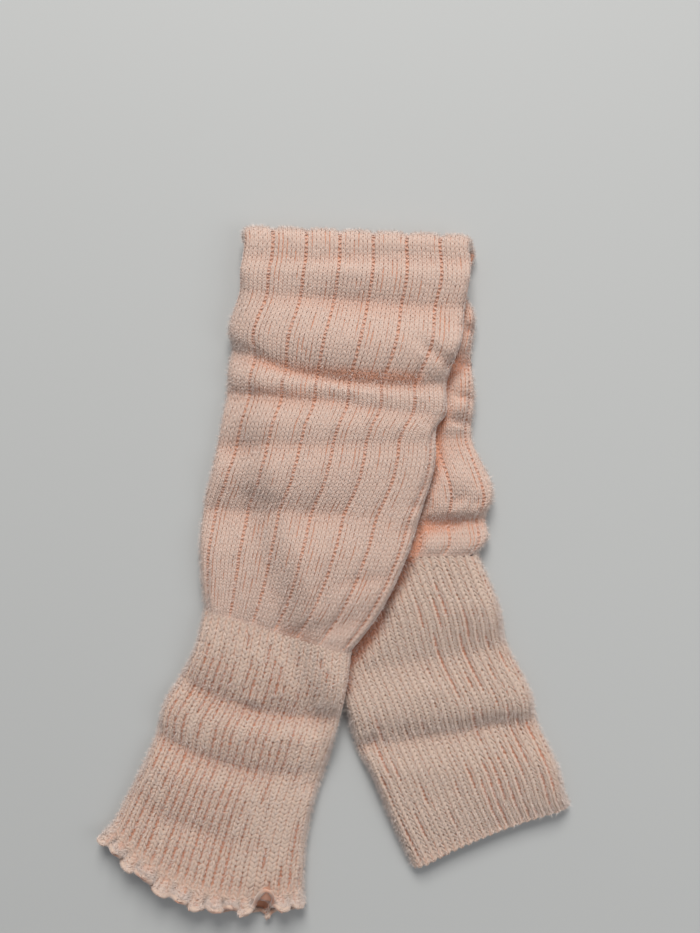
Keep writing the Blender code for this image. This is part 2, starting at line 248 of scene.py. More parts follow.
# left x, left y, right x, right y, height, cover, turn
BACK_LEG = (
    (-50.5, 175.8, 76.5, 172.2, 7.5, 0.98, 0),  # end of the fold
    (-47.5, 152, 71, 149, 6.5, 0.95, 0.04),
    (-46, 138, 75, 139, 10.5, 0.86, 0.08),
    (-43.5, 117, 73, 115.5, 6.5, 0.82, 0.14),
    (-41.5, 95, 74, 93, 10.8, 0.7, 0.2),
    (-39.5, 71, 72.5, 70, 7, 0.58, 0.26),
    (-34, 44, 83.5, 40, 12.2, 0.34, 0.34),  # crest of the big puff
    (-29.5, 24.5, 79.5, 25.5, 6.8, 0.28, 0.38),  # deep trough under it
    (-26, 14, 80.5, 15, 9.6, 0.19, 0.4),  # small crest
    (-22.5, 5.5, 75, 7.5, 8.8, 0.18, 0.4),  # gather at the cuff
)
BACK_CUFF = (
    (-22.4, 5, 75, 7, 8.8, 0.18, 0),
    (-14, -18.5, 86, -20, 10.4, -0.25, 0),
    (-3.5, -56.5, 90.5, -41.5, 7.8, -0.83, 0),  # soft trough, slanted
    (5, -74.5, 102.6, -66.2, 10.2, -1.2, 0),
    (10.5, -95.6, 106.2, -82, 6, -1.2, 0),
    (18, -108.5, 116, -104, 8.8, -1.2, 0),  # low crest
    (29.5, -135, 120.5, -121, 7.8, -1.2, 0),  # flat
    (40.5, -158, 122.5, -127, 6.8, -1.2, 0),  # plain hem
)

# bend: 0 on the front half, pi on the back half; cover: how far across, from -1 to 1, the
# front half lies over the line
Line = namedtuple("Line", "left right height bow turn bend cover")
UNCOVERED = -2.0

# Creases and puffs between and beside the main folds, each placed on its own.
# x, y, turn in degrees, half length, half width, rise
CREASES = (
    # the deepest trough: its right end, then its left bend
    (51.5, 113.6, -37, 12.3, 3.8, -1.8), (60.1, 107.5, 0, 4.2, 4.2, -1.6),
    (-41, 111.8, -28, 12.9, 2.7, -0.8),
    # beside the lowest trough
    (-44, 36.5, -12, 20, 3.2, -0.5),
    # dents in the panels
    (-28.6, 7, 80, 12, 5.4, -0.7), (-51.5, 4.4, 60, 8.1, 4.3, -0.7),
    (-17.7, -18.2, 75, 13, 5.2, -0.4), (15.2, -7.1, 8, 13, 4.6, -1.1),
    # over the gather
    (7.7, -29.1, 20, 14, 6.4, -1.4), (-10.3, -32.4, 10, 10.7, 4.3, -0.9),
    # puffs
    (0.3, 9.8, 80, 18.2, 7, 1), (1.4, -17.6, 70, 9.5, 5.6, 0.6),
    (-12, -70, -20, 12, 6, 0.7), (-20.4, 133.8, -5, 21.4, 6.4, 0.6),
    (3.9, 159, 0, 11.8, 3.8, 0.7), (-53, 84.2, 80, 7, 6.5, 0.6), (-55.1, 52.8, 85, 9.8, 6, 0.5),
    (52.8, 64.3, 70, 6.4, 3.8, 0.9),
    # gathers in the back half's strip
    (72, 129, 4, 7, 2.8, -2.4), (70.5, 119, 6, 7, 3.4, 1),
    (70, 109.5, 14, 7.5, 2.8, -2.4), (69, 99.5, 4, 7, 3, 0.9), (69, 91, -4, 7, 2.3, -1.9),
    (68, 84.5, -4, 6.5, 2.6, 0.6), (67, 78, -8, 8, 2.6, -1.8),
    # the puff above the plain cuff
    (64, 47.5, -4, 10, 5, 0.7), (65, 36, -4, 11, 4.6, -0.9),
    # near the fold
    (31.2, 169.6, 0, 26.8, 2.7, -0.6), (-1.4, 89.2, -6, 11.8, 2.7, -0.8),
    # dips at the front half's right side
    (50.5, 75.1, 10, 4.4, 3.2, -1.2), (44.2, 40.7, 50, 6, 3.2, -0.8), (41, 32.1, 0, 5.4, 2.8, -0.8),
    (37.7, 18.8, 20, 5, 3.2, -0.8),
    # front cuff
    (-44.5, -70.4, -20, 4.9, 3.8, 1.4), (-11.3, -115.4, 10, 7.6, 4.4, -1.3),
    (-5, -96.8, -70, 7.6, 3.8, -1), (-81.2, -135.9, -20, 18.6, 5.5, -0.7),
    (-70.2, -24.1, -70, 6.5, 3.8, -0.9), (-78.5, -70.9, 70, 7.1, 6, 0.7),
    (-25.2, -89.2, -15, 13, 4.9, 0.6), (-24, -125.7, 80, 13.1, 4.9, -0.5),
    (-51.9, -44.4, -15, 16.2, 5.4, 0.5),
    # back half
    (66.8, 51.5, 75, 12.9, 6.4, 1), (63.2, 23.6, 25, 9.7, 3.4, -1.4),
    (75.7, 33.8, 35, 6, 3.2, -1.2), (64.9, 34.9, 40, 5, 3, -1), (57, 27, 4, 19, 3.6, 1.2),
    (70.8, 85.4, 60, 6.5, 2.7, -0.9),
    # back cuff
    (81.1, -83, 12, 9.8, 3.8, -0.9), (79.8, -105.3, 80, 10.9, 6, -0.8),
    (17.8, -92.8, 40, 7.1, 3.3, -1), (49.2, -65.5, 10, 16.3, 4.9, 0.6),
    (44.1, -21.2, 80, 9.7, 4.3, -0.6), (33.2, -86.6, 0, 10.9, 4.3, -0.5),
    (70.8, -22.2, 15, 9.7, 4.9, 0.6), (54.1, -130.5, 20, 16.3, 6, 0.5),
    (104.8, -98, 75, 9.8, 5.4, 0.6),
)

# How much painted warm shade the yarn gets in a trough, beside the half that lies over it and
# where it is tucked under, and how much painted glow where the two halves touch.
IN_TROUGH, BESIDE, TUCKED, TOUCHING = 0.42, 0.22, 0.25, 0.5

# Hollows where light has bounced off yarn many times, painted a glowing warm orange as painted bounced
# light.
# x, y, turn in degrees, half length, half width, glow
HOLLOWS = (
    # along the deepest trough
    (-25, 106.6, -9, 24, 3, 0.26), (14, 102, -6, 20, 3.2, 0.46),
    (44, 100, -8, 16, 3, 0.4),
    # the next trough
    (-30, 92.5, -8, 26, 2.4, 0.22),
    # back half, beside the front half's edge
    (61.4, 108.7, 20, 6.5, 4.4, 1), (56.4, 93, 80, 8, 2.6, 0.45),
    (54.4, 78.3, 60, 6.5, 3.4, 1), (52.5, 60.4, 82, 14, 3.6, 0.7),
    (44.5, 33, 65, 9, 2.6, 0.45), (50, 22, 6, 17, 4.6, 0.36), (40, 9, 62, 9, 3.8, 0.75),
    (28, -14, 60, 14, 3.2, 0.6),
)


def smooth(share):
    """Ease from 0 to 1 while the share runs from 0 to 1."""
    share = np.clip(share, 0, 1)
    return share * share * (3 - 2 * share)


def through(knots, values, at):
    """A smooth curve through values at the knots, read at one place."""
    slopes = np.gradient(np.asarray(values, float), np.asarray(knots, float))
    i = int(np.clip(np.searchsorted(knots, at) - 1, 0, len(knots) - 2))
    span = knots[i + 1] - knots[i]
    s = (at - knots[i]) / span
    start = (2 * s**3 - 3 * s**2 + 1) * values[i] + (s**3 - 2 * s**2 + s) * span * slopes[i]
    end = (3 * s**2 - 2 * s**3) * values[i + 1] + (s**3 - s**2) * span * slopes[i + 1]
    return start + end


def fold_share(s, falling):
    """How far the cloth has gone from one crest or trough to the next."""
    arc = 1 - math.cos(0.5 * math.pi * s) if falling else math.sin(0.5 * math.pi * s)
    rounded = ROUND_FALL if falling else ROUND_RISE
    return rounded * arc + (1 - rounded) * float(smooth(s))


def spans(table):
    """Distance from each row of a table to the next."""
    return [0.5 * math.hypot(b[0] + b[2] - a[0] - a[2], b[1] + b[3] - a[1] - a[3])
            for a, b in zip(table, table[1:])]


def table_line(table, i, s):
    """All columns at share s of the way from row i to row i + 1."""
    knots = np.concatenate([[0.0], np.cumsum(spans(table))])
    at = knots[i] + s * (knots[i + 1] - knots[i])
    ends = [through(knots, [row[column] for row in table], at) for column in range(4)]
    rest = [a + (b - a) * fold_share(s, b < a) for a, b in zip(table[i][4:], table[i + 1][4:])]
    return ends + rest


def front_line(table, i, s):
    """A line of the front half."""
    lx, ly, rx, ry, left, middle, right, bow, turn = table_line(table, i, s)

    def height(u):
        side = np.where(u < 0, left, right)
        return middle + (side - middle) * smooth(np.abs(u) / HEIGHT_SIDE)

    return Line((lx, ly), (rx, ry), height, bow, turn, 0.0, UNCOVERED)


def back_line(table, i, s):
    """A line of the back half, plain where the front half covers it."""
    lx, ly, rx, ry, open_height, cover, turn = table_line(table, i, s)

    def height(u):
        return FLAT + (open_height - FLAT) * smooth((u - cover) / COVER_SOFT)

    return Line((lx, ly), (rx, ry), height, 0.0, turn, math.pi, cover)


def fold_line(share):
    """A line part of the way round the fold."""
    lx, ly, rx, ry = [a + (b - a) * share for a, b in zip(FRONT_LEG[0][:4], BACK_LEG[0][:4])]
    lx -= FOLD_FLARE[0] * math.sin(math.pi * share)
    ly += FOLD_FLARE[1] * math.sin(math.pi * share)

    return Line((lx, ly), (rx, ry), lambda u: np.full_like(u, FLAT), 0.0, 0.0, math.pi * share, UNCOVERED)


def lines_of(table, make_line):
    """Lines along a table, a whole number of courses between its rows."""
    lines = []
    for i, span in enumerate(spans(table)):
        rise = table[i + 1][4] - table[i][4]
        steps = ROWS * max(1, round(math.hypot(span, rise) / COURSE))
        lines += [make_line(table, i, step / steps) for step in range(steps)]
    lines.append(make_line(table, len(table) - 2, 1.0))
    return lines


def support(x, y):
    """Height of what the front half lies on: the back half, and the table beside it."""
    back_rows = BACK_CUFF[:0:-1] + BACK_LEG[::-1]
    edge = np.interp(y, [row[1] for row in back_rows], [row[0] for row in back_rows])
    on_back = smooth((x - edge + DRAPE_OUT) / (DRAPE_OUT + DRAPE_IN))
    set_in = smooth((FRONT_LEG[0][1] - y) / DRAPE_START)
    return (FLAT + 2 * LAY_GAP) * (1 - set_in * (1 - on_back))


def place(line, x, z, lean=LEAN):
    """Points of a ring given across the tube and up, as it leaves the front half."""
    left, right = np.array((line.left, line.right))
    half = 0.5 * np.linalg.norm(right - left)
    across = (right - left) / (2 * half)
    down = np.array((across[1], -across[0]))
    above = FLAT - z if line.bend == math.pi else z * (line.bend == 0.0)
    leans = lean * np.maximum(above - LEAN_FROM, 0.0)
    reach = line.bow * (1 - (x / half) ** 2) - math.sin(line.bend) * (z + LAY_GAP) + leans
    ground = 0.5 * (left + right) + np.outer(x, across) + np.outer(reach, down)
    if line.bend == 0.0:
        up = support(ground[:, 0], ground[:, 1]) + z
    else:
        up = FLAT + LAY_GAP + math.cos(line.bend) * (z + LAY_GAP)
    return np.column_stack([ground, np.maximum(up, 0.0)])


def outline(line):
    """Closed outline of the tube, from the top's middle to the right.

    Gives x across the tube, z above its underside, and the outward direction.
    """
    half = 0.5 * math.dist(line.left, line.right)
    flat_reach = half - NOSE
    turn = np.sin(np.linspace(0.0, 0.5 * np.pi, NOSE_POINTS))
    u = np.concatenate([np.linspace(0.0, flat_reach, FLAT_POINTS)[:-1], flat_reach + NOSE * turn])
    x = np.concatenate([u, u[-2::-1], -u[1:], -u[-2:0:-1]])
    over = np.ones(len(x), bool)
    over[len(u):3 * len(u) - 3] = False
    side = 0.5 * np.where(x > 0, line.height(np.ones(1)), line.height(-np.ones(1)))
    round_off = np.sqrt(1 - np.clip((np.abs(x) - flat_reach) / NOSE, 0, 1) ** 2)
    top = side + (line.height(x / half) - side) * round_off
    # On the front half's right side the edge stands on the back half, with no hollow under it.
    start, full = STANDS_FROM
    stands = float(smooth((line.right[1] - start) / (full - start))) * (x > 0) * (line.bend == 0.0)
    under = side * (1 - 0.85 * stands) - stands
    z = np.where(over, top, under * (1 - round_off))
    dx = np.roll(x, -1) - np.roll(x, 1)
    dz = np.roll(z, -1) - np.roll(z, 1)
    size = np.hypot(dx, dz)
    return x, z, -dz / size, dx / size


def read_round(shares, outline_values):
    """Values at shares of the way round a closed outline."""
    closed = [np.append(values, values[0]) for values in outline_values]
    travel = np.concatenate([[0.0], np.cumsum(np.hypot(np.diff(closed[0]), np.diff(closed[1])))])
    at = np.mod(shares, 1.0) * travel[-1]
    return [np.interp(at, travel, values) for values in closed]


def laid(line, shares):
    """Shares counted from the middle of the laid tube's upper wall."""
    return 0.5 - shares if line.bend == math.pi else shares


def ring(line, shares, raised):
    """Points round the tube and how far across they are, its ribs raised where they show."""
    x, z, nx, nz = read_round(laid(line, shares), outline(line))
    half = 0.5 * math.dist(line.left, line.right)
    shows = smooth((nz + RIB_FADE) / RIB_FADE) * smooth((x / half - line.cover) / RIB_START)
    if 0.0 < line.bend < math.pi:
        shows *= 1 - smooth((line.bend - 0.5 * math.pi) / (0.4 * math.pi))
    x = x + nx * raised * shows
    z = z + nz * raised * shows
    return place(line, x, FLAT - z if line.bend == math.pi else z), x / half


def spots_sum(spots, x, y):
    """What a table of soft spots adds at a place, such as the rise of creases and puffs."""
    rise = np.zeros_like(x)
    for middle_x, middle_y, turn, long, wide, height in spots:
        # the real part of a place turned back is how far along the spot it lies
        turned = (x - middle_x + 1j * (y - middle_y)) * np.exp(-1j * math.radians(turn))
        rise += height * np.exp(-(turned.real / long) ** 2 - (turned.imag / wide) ** 2)
    return rise


class Surface:
    """Places on one stretch of the tube, read by share round it and courses along it."""

    def __init__(self, lines, rings, reach=0.6):
        """Reach: how far the last stitches reach over the next stretch, in courses."""
        self.points = np.array([points for points, _ in rings]) - CENTRE
        self.across = np.array([across for _, across in rings])
        self.cover = np.array([line.cover for line in lines])
        self.bend = np.array([line.bend for line in lines])
        self.left_shows = (self.bend == math.pi) & (self.points[..., 1].mean(1) > LEFT_SHOWS)
        self.courses = (len(lines) - 1) // ROWS
        self.last = self.courses + reach
        for _ in range(EASE_PASSES):
            self.points[1:-1] = 0.25 * (self.points[:-2] + 2 * self.points[1:-1] + self.points[2:])
        self.find_normals()
        past_cover = self.across - self.cover[:, None]
        upper = smooth(1.6 * self.normals[..., 2]) * smooth(past_cover / 0.1)
        table_x, table_y = (self.points + CENTRE)[..., :2].transpose(2, 0, 1)
        self.points[..., 2] += spots_sum(CREASES, table_x, table_y) * upper
        self.find_normals()
        # The light that reaches a hollow has been off the yarn before, so it is painted warmer and deeper
        # there: painted shade with painted bounced light.
        height = self.points[..., 2]
        broad = np.array([height[max(0, j - 9):j + 10].mean(0) for j in range(len(height))])
        covered = (self.cover > -1.0)[:, None]
        on_front = (self.bend == 0.0)[:, None]
        beside = covered * (1 - smooth((past_cover + 0.02) / 0.3))
        self.painted_warm_shade = upper * (IN_TROUGH * np.clip((broad - height) / 2.0, 0, 1) + BESIDE * beside)
        # The front half's side is tucked against the back half it lies on, and there it gets painted warm
        # shade.
        on_cloth = smooth(support(table_x, table_y) / FLAT - 0.1) * on_front
        self.tucked = on_cloth * smooth(1.2 - 1.5 * self.normals[..., 2])
        self.painted_warm_shade = np.maximum(self.painted_warm_shade, TUCKED * self.tucked)
        # Painted bounced light: a warm glow in the listed hollows, kept off the front half's edges, and
        # where the back half runs under the front half's edge.
        glow = np.clip(spots_sum(HOLLOWS, table_x, table_y), 0, 1)
        glow = glow * (1 - smooth((self.across - 0.72) / 0.1) * on_front)
        touching = covered * (self.bend == math.pi)[:, None] * (1 - smooth((past_cover + 0.01) / 0.1))
        self.glow = np.maximum(glow, TOUCHING * touching) * smooth(1.6 * self.normals[..., 2])

    def find_normals(self):
        round_step = np.roll(self.points, -1, 1) - np.roll(self.points, 1, 1)
        normals = np.cross(round_step, np.gradient(self.points, axis=0))
        normals /= np.maximum(np.linalg.norm(normals, axis=2, keepdims=True), 1e-9)
        # The normals point away from each ring's own middle.
        away = self.points - self.points.mean(1, keepdims=True)
        self.hand = 1.0 if (normals * away).sum() > 0 else -1.0
        self.normals = normals * self.hand
        self.round = np.linalg.norm(round_step, axis=2).sum(1).mean() / 2

    def read(self, grid, around, along):
        """A grid's values between its rows and columns."""
        rows, columns = grid.shape[:2]
        a = np.mod(around, 1.0) * columns
        b = np.clip(along * ROWS, -2.0, rows + 1.0)
        i = a.astype(int) % columns
        j = np.clip(b.astype(int), 0, rows - 2)
        fa, fb = a - np.floor(a), b - j
        if grid.ndim == 3:
            fa, fb = fa[..., None], fb[..., None]
        near, far = [grid[row, i] * (1 - fa) + grid[row, (i + 1) % columns] * fa for row in (j, j + 1)]
        return near * (1 - fb) + far * fb

    def deepened(self, depth, around, along):
        """Depth of colour: 0 pale yarn, 1 deep, 2 the glow of a warm hollow."""
        # The share of painted shade, from gaps, warm troughs and tucked places, then of painted glow from
        # warm hollows.
        deep = np.clip(depth + self.read(self.painted_warm_shade, around, along), 0, 1)
        glow = self.read(self.glow, around, along)
        return deep * (1 - glow) + 2 * glow

    def at(self, around, along, lift):
        """Points a little above the surface."""
        points = self.read(self.points, around, along)
        normals = self.read(self.normals, around, along)
        points = points + normals * np.asarray(lift)[..., None]
        points[..., 2] = np.maximum(points[..., 2], 0.05)
        return points

    def shows(self, around, along):
        """Whether a place faces up or out and nothing lies on it."""
        up = self.read(self.normals, around, along)[..., 2]
        across = self.read(self.across, around, along)
        row = np.clip((np.asarray(along) * ROWS).astype(int), 0, len(self.cover) - 1)
        # Near the fold the back half's left side shows too, under the front half's.
        left_side = (across < -0.86) & self.left_shows[row]
        return (up > -0.55) & ((across > self.cover[row] - 0.12) | left_side)


# ============================================================ the leg
# Wide-rib knit: 14 panels of seven plain wales round the tube, and between them a ladder
# column of bars, where a needle was left out. Knitted in one run, brushed and soft.
PANELS = 14
PANEL_RAISE = 1.0
JOINT_RAISE = 0.5  # height of the knit where the leg and a cuff meet
PANEL_PROFILE = ((0, 0), (0.09, 0.45), (0.17, 0.86), (0.5, 1), (0.83, 0.86), (0.91, 0.45), (1, 0))
WALES = 8  # to one panel, the ladder column among them
LADDER = 0.62  # a ladder column's width, in wales
SHELL_DROP = 0.95  # the ground of the knit lies this far under its stitches' crests
# How deep a painted shade the knit's ground gets, between panels and in the ladders.
SHELL_DEPTH = 0.95  # how deep the ground's colour is, between crest and deepest gap
LADDER_DEPTH = 0.95
LADDER_DROP = 0.85
YARN = 0.46  # half the width of one leg of a stitch


leg_shares = np.arange(4 * PANELS * WALES) / (4 * PANELS * WALES)
leg_raised = PANEL_RAISE * np.tile(np.interp(leg_shares[:4 * WALES] * PANELS, *zip(*PANEL_PROFILE)), PANELS)
leg_lines = (
    lines_of(FRONT_LEG, front_line)[::-1]
    + [fold_line(k / (ROWS * FOLD_COURSES)) for k in range(1, ROWS * FOLD_COURSES)]
    + lines_of(BACK_LEG, back_line)
)


def joined_raise(raised, courses_off):
    """Ribs flattened to a common level where one stretch is knitted on to the next."""
    return JOINT_RAISE + (raised - JOINT_RAISE) * smooth(courses_off / 3.0)


leg_ends = np.minimum(np.arange(len(leg_lines)), np.arange(len(leg_lines))[::-1]) / ROWS
leg_rings = []
for line, off in zip(leg_lines, leg_ends):
    # Stretched over the fold, the panels stand up further beside their ladders.
    raised = joined_raise(leg_raised, off) * (1 + 0.9 * math.sin(line.bend))
    shares = leg_shares + (0.5 + line.turn) / PANELS
    leg_rings.append(ring(line, shares, raised - 0.4 * math.sin(line.bend)))
leg_surface = Surface(leg_lines, leg_rings)


def knit_material(name, yarn, deep, mottle=0.1):
    """Brushed yarn: pale where it stands proud, warmer and deeper in its gaps."""
    recipe = Recipe(name, Roughness=0.88, Sheen_Weight=0.6, Sheen_Roughness=0.45, Specular_IOR_Level=0.2)
    place = recipe.node("ShaderNodeTexCoord", {}, {}, "Object")
    depth = recipe.node("ShaderNodeAttribute", {"attribute_name": "depth"}, {}, "Fac")
    broad = recipe.noise(place, 70.0, 2.0)
    fine = recipe.noise(place, 900.0, 3.0)
    shade = (broad - 0.5) * mottle + (fine - 0.5) * mottle * 2.2 + 0.5
    pale = tuple(min(1.0, c * 1.1) for c in yarn)
    dim = tuple(c * 0.86 for c in yarn)
    tone = recipe.blend(shade.clamped(), (*dim, 1.0), (*pale, 1.0))
    # Painted shade: by the depth attribute the colour turns to the darker, warmer gap colour, and from 1 to
    # 2 on to the painted glow colour.
    colour = recipe.blend((depth ** 1.3).clamped(), tone, (*deep, 1.0))
    recipe.feed("Base Color", recipe.blend((depth - 1.0).clamped(), colour, (*GLOW_COLOUR, 1.0)))
    recipe.relief(0.35, 0.00015, recipe.noise(place, 4200.0, 2.0))
    return recipe.material


YARN_COLOUR = (0.6, 0.468, 0.396)
# Painted shade of the yarn's gaps, and painted bounced light of its warm hollows.
GAP_SHADE_COLOUR = (0.6, 0.295, 0.195)
GLOW_COLOUR = (0.88, 0.43, 0.27)  # of warm hollows between the folds
knit = knit_material("brushed_yarn", YARN_COLOUR, GAP_SHADE_COLOUR)
# The cuffs and hem are knitted of the same yarn; this copy is coloured a little darker and more orange as
# painted shade for how the light falls on them, and its gaps get a darker painted shade.
rib_knit = knit_material("brushed_yarn_rib", (0.592, 0.446, 0.36), (0.5, 0.22, 0.136))


def joined_mesh(name, points, faces, depth, material):
    """One mesh from arrays of points and four-sided faces."""
    mesh = bpy.data.meshes.new(name)
    mesh.from_pydata(points * MM, [], faces)
    mesh.update()
    mesh.shade_smooth()
    mesh.attributes.new("depth", "FLOAT", "POINT").data.foreach_set("value", depth.astype(np.float32))
    mesh.materials.append(material)
    piece = added(name, mesh)
    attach(piece, "root")
    return piece


def strips(surface, around, along, lift, depth):
    """Points, faces and depths of many short strips, each rings by points across."""
    count, rings, across = around.shape
    points = surface.at(around, along, lift).reshape(-1, 3)
    cell = np.arange(count * rings * across).reshape(count, rings, across)
    corners = [cell[:, :-1, :-1], cell[:, :-1, 1:], cell[:, 1:, 1:], cell[:, 1:, :-1]]
    faces = np.stack([corner.ravel() for corner in corners], 1)
    a, b, c = (points[faces[:, k]] for k in range(3))
    middle_normals = surface.read(surface.normals, around.mean((1, 2)), along.mean((1, 2)))
    facing = (np.cross(b - a, c - b) * np.repeat(middle_normals, (rings - 1) * (across - 1), 0)).sum(1)
    depth = surface.deepened(depth, around, along)
    back_to_front = facing.reshape(count, -1).sum(1) < 0
    flip = np.repeat(back_to_front, (rings - 1) * (across - 1))
    faces[flip] = faces[flip][:, ::-1]
    return points, faces, depth.ravel()


def gathered(parts):
    """Several sets of strips as one."""
    points, faces, depths = zip(*parts)
    starts = np.cumsum([0] + [len(part) for part in points[:-1]])
    faces = [part + start for part, start in zip(faces, starts)]
    return np.concatenate(points), np.concatenate(faces), np.concatenate(depths)


def uneven(seed, columns, at, wavelengths):
    """Smooth random waves along each column, about -1 to 1."""
    rng = np.random.default_rng(seed)
    total = np.zeros(len(at))
    kinds = PANELS * WALES + 2
    for wavelength in wavelengths:
        phase = rng.uniform(0, 2 * np.pi, kinds)
        speed = 2 * np.pi / (wavelength * rng.uniform(0.7, 1.4, kinds))
        total += np.sin(at * speed[columns] + phase[columns])
    return total / len(wavelengths)


# share along a leg of a stitch: out from the wale's middle, along, up
STITCH_PATH = np.array(((0.05, -0.18, -0.42), (0.16, 0.24, 0), (0.3, 0.74, 0), (0.41, 1.2, -0.42)))
STITCH_ROUND = np.array(((-1, -0.7), (0, 0), (1, -0.7)))  # out, up, in yarn widths


def shown_cells(surface, columns, courses):
    """Column and course of each stitch that shows."""
    column, course = [grid.ravel() for grid in np.meshgrid(np.arange(columns), courses)]
    shown = surface.shows(column / columns, course + 0.5)
    return column[shown], course[shown]


def stitches(surface, rng, middle, pitch, course, apex, gaps, yarn, thick, path, deep_from, fill=0.0):
    """The two legs of each plain stitch, as rounded strips.

    middle and pitch: share round of its wale and the wale's width; course: where it
    starts; apex: 1 where its point is at the higher course; gaps: how open the
    wale's two sides are; yarn: half a leg's width; path: of one leg; deep_from: how
    far under its crest a leg starts to be painted a deeper shade; fill: how far its
    outer end rises where the gap there is shut.
    """
    parts = []
    for side, gap in zip((-1, 1), gaps):
        jitter = rng.normal(0.0, 1.0, (5, len(middle), 1))
        out = side * pitch * (path[:, 0] * (1 - 0.3 * gap[:, None]) + 0.022 * jitter[0])
        out = out + 0.018 * pitch * jitter[3] * (path[:, 1] - 0.5)
        run = path[:, 1] + 0.06 * jitter[1]
        along = course[:, None] + 0.5 - apex * (run - 0.5)
        lift = thick * path[:, 2] + 0.05 * jitter[2] + 0.05 * jitter[4] * (path[:, 1] - 0.5)
        lift = lift + fill * (1 - gap[:, None]) * (2 * path[:, 0]) ** 2
        # The strip's own width is set square to its slant.
        width = yarn / surface.round * (1 - 0.18 * gap[:, None])
        around = middle[:, None, None] + out[:, :, None] + width[:, :, None] * STITCH_ROUND[:, 0]
        slant = 0.3 * side * apex * STITCH_ROUND[:, 0]
        runs = np.clip(along[:, :, None] + slant, -0.6, surface.last)
        lifts = lift[:, :, None] + thick * STITCH_ROUND[:, 1]
        # Painted shade: the further a leg's yarn lies under its crest, the deeper its colour.
        depth = np.clip((-lifts - deep_from) / 1.1, 0, 1)
        parts.append(strips(surface, around, runs, lifts, depth))
    return gathered(parts)


def cross_loops(surface, rng, middle, pitch, runs, path, profile, lift, depth, scatter):
    """Short loops across a column, one to a course.

    path: places across, in the column's widths; profile: courses and lift of the
    yarn's own round; lift and depth, the share of painted shade: along the path and
    over the profile; scatter: how far the loops stray, along and up.
    """
    jitter = rng.normal(0.0, 1.0, (2, len(middle), 1, 1))
    around = middle[:, None, None] + pitch * path[:, None] + np.zeros((1, 1, len(profile)))
    along = runs[:, :, None] + 0.5 + profile[:, 0] + scatter[0] * jitter[0]
    lifts = lift[:, None] + profile[:, 1] + scatter[1] * jitter[1]
    return strips(surface, around, along, lifts, np.clip(depth, 0, 1) + np.zeros_like(lifts))


BAR_PATH = np.array((-0.62, -0.2, 0.2, 0.62))
BAR_PROFILE = np.array(((-0.27, -0.3), (0, 0), (0.27, -0.3)))
LEG_WAVES = (9, 17, 41)  # the gaps between wales open and shut over so many courses


def leg_stitches(name, first, last, seed):
    """The plain wales and ladder bars of a stretch of the leg, where they show."""
    rng = np.random.default_rng(seed)
    columns = PANELS * WALES
    wale, course = shown_cells(leg_surface, columns, np.arange(first, last))
    in_panel = wale % WALES
    spread = (WALES - LADDER) / (WALES - 1)
    within = np.where(in_panel == 0, 0.0, 0.5 * LADDER + spread * (in_panel - 0.5))
    middle = (wale - in_panel + within) / columns
    lines = np.random.default_rng(seed + 50).uniform(-0.5, 0.32, columns + 1)
    lines[2::WALES] += 0.45  # the line next to a ladder opens most often
    plain = in_panel != 0
    gaps = []
    for line in (wale, wale + 1):
        ready = uneven(seed, line, course, LEG_WAVES) + lines[line]
        gaps.append(np.where(line % WALES < 2, 0.0, smooth((ready - 0.05) / 0.6))[plain])
    sets = [stitches(leg_surface, rng, middle[plain], spread / columns, course[plain], 1, gaps, YARN, 0.9,
                     STITCH_PATH, 0.05)]
    across = BAR_PATH / BAR_PATH[-1]
    # Each bar slants the other way than the one before, so the column looks twisted.
    runs = course[~plain][:, None]
    runs = runs + np.where(runs % 2 == 0, 0.22, -0.22) * across + 0.1 * across**2
    sets.append(cross_loops(leg_surface, rng, middle[~plain], LADDER / columns, runs, BAR_PATH, BAR_PROFILE,
                            0.16 * (1 - across**2) - 0.26, 0.45 - 1.6 * BAR_PROFILE[:, 1], (0.06, 0.05)))
    piece = joined_mesh(name, *gathered(sets), knit)
    return piece


fold_end = (len(lines_of(FRONT_LEG, front_line)) - 1) // ROWS + FOLD_COURSES
leg_front = leg_stitches("leg_front_stitches", 0, fold_end, 3)
leg_back = leg_stitches("leg_back_stitches", fold_end, leg_surface.courses, 4)


def shell(name, surface, columns, uv_round, drops, depths, material, hidden_depth=0.5):
    """The ground of the knit: a closed-round sheet a little under the stitches.

    drops and depths: how far down it lies and how deep its painted shade is, round the
    tube; hidden_depth: the painted shade, or past 1 the painted glow, of what lies between
    the layers.
    """
    bm = bmesh.new()
    uv = bm.loops.layers.uv.new("stitches")
    depth = bm.verts.layers.float.new("depth")
    courses = surface.courses
    bmesh.ops.create_grid(bm, x_segments=columns, y_segments=courses, size=1.0)
    bm.verts.ensure_lookup_table()
    around, along = np.meshgrid(np.arange(columns + 1) / columns, np.arange(courses + 1.0))
    under = surface.shows(around.ravel(), along.ravel()).astype(float).reshape(around.shape)
    # Where one stretch is knitted on to the next, the ground lies just under the stitches.
    under *= 0.3 + 0.7 * smooth(np.minimum(along, courses - along) / 2.5)
    points = surface.at(around, along, -under * np.resize(drops, columns + 1)).reshape(-1, 3) * MM
    deep = surface.deepened(under * np.resize(depths, columns + 1), around, along)
    # What lies between the layers is given one painted shade, or painted glow past 1.
    deep = np.where(surface.shows(around, along), deep, hidden_depth)
    for vertex, point, how_deep in zip(bm.verts, points, deep.ravel()):
        vertex.co = point
        vertex[depth] = how_deep
    spots = np.column_stack([around.ravel() * uv_round, along.ravel()])
    for face in bm.faces:
        for loop in face.loops:
            loop[uv].uv = spots[loop.vert.index]
    bmesh.ops.remove_doubles(bm, verts=bm.verts[:], dist=1e-6)
    if surface.hand < 0:
        bmesh.ops.reverse_faces(bm, faces=bm.faces[:])
    mesh = bpy.data.meshes.new(name)
    bm.to_mesh(mesh)
    bm.free()
    mesh.shade_smooth()
    mesh.materials.append(material)
    piece = added(name, mesh)
    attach(piece, "root")
    return piece


